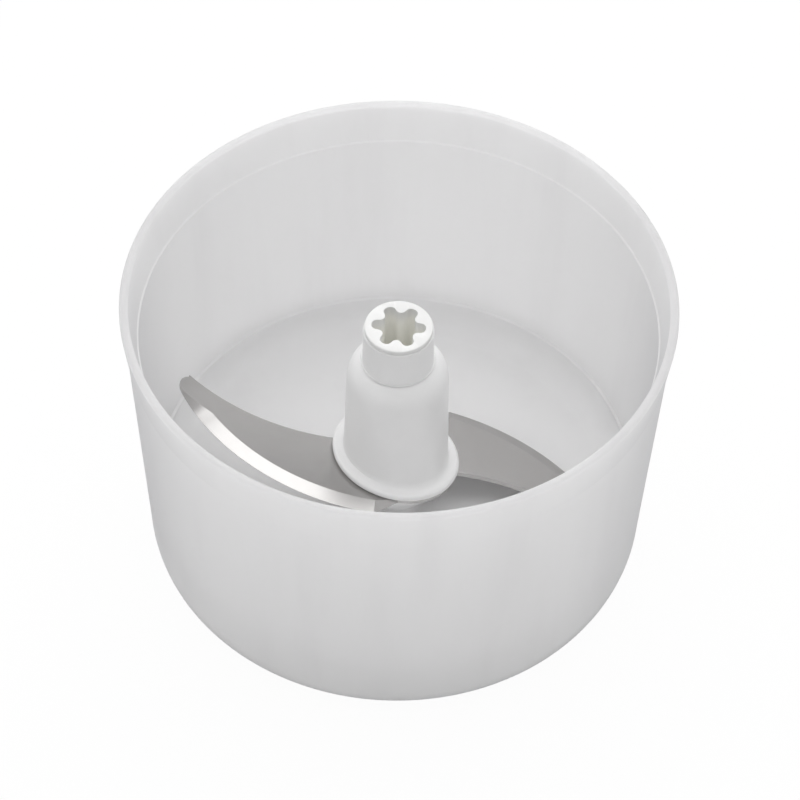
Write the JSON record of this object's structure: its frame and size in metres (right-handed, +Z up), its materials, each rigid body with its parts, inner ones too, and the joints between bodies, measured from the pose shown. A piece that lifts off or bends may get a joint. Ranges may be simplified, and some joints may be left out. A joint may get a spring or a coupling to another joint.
{
  "type": "chopper bowl with knife",
  "caption": "Frosted round chopper bowl with a flared collar, and a lift-out knife: tilted S-shaped blade on a white hub with a slotted drive socket.",
  "frame": {"origin": "centre of the ring that the bowl stands on", "axes": "+Z up along the spindle; -Y towards the front, +X to the right"},
  "size_m": [0.13, 0.13, 0.08],
  "materials": {
    "bowl_plastic": "frosted translucent polypropylene",
    "spindle_steel": "ground stainless steel",
    "washer_plastic": "natural acetal",
    "hub_plastic": "satin white moulded plastic",
    "socket_plastic": "natural acetal, slightly cream inside",
    "blade_steel": "satin stainless steel with a ground bevel",
    "bush_plastic": "self-lubricating acetal",
    "dowel_steel": "ground steel"
  },
  "bodies": {
    "bowl": {"bowl": "bowl_plastic", "spindle": "spindle_steel"},
    "washer": {"thrust_washer": "washer_plastic"},
    "knife": {"hub_shell": "hub_plastic", "drive_socket": "socket_plastic", "blade": "blade_steel", "blade_carrier": "hub_plastic", "lower_bush": "bush_plastic", "upper_bush": "bush_plastic", "blade_dowels": "dowel_steel"}
  },
  "joints": [
    {"name": "knife_lift", "type": "slide", "parent": "bowl", "child": "washer", "axis": [0, 0, 1], "range_m": [0, 0.075]},
    {"name": "knife_spin", "type": "hinge", "parent": "washer", "child": "knife", "pos_m": [0, 0, 0.0224], "axis": [0, 0, 1], "continuous": true}
  ]
}
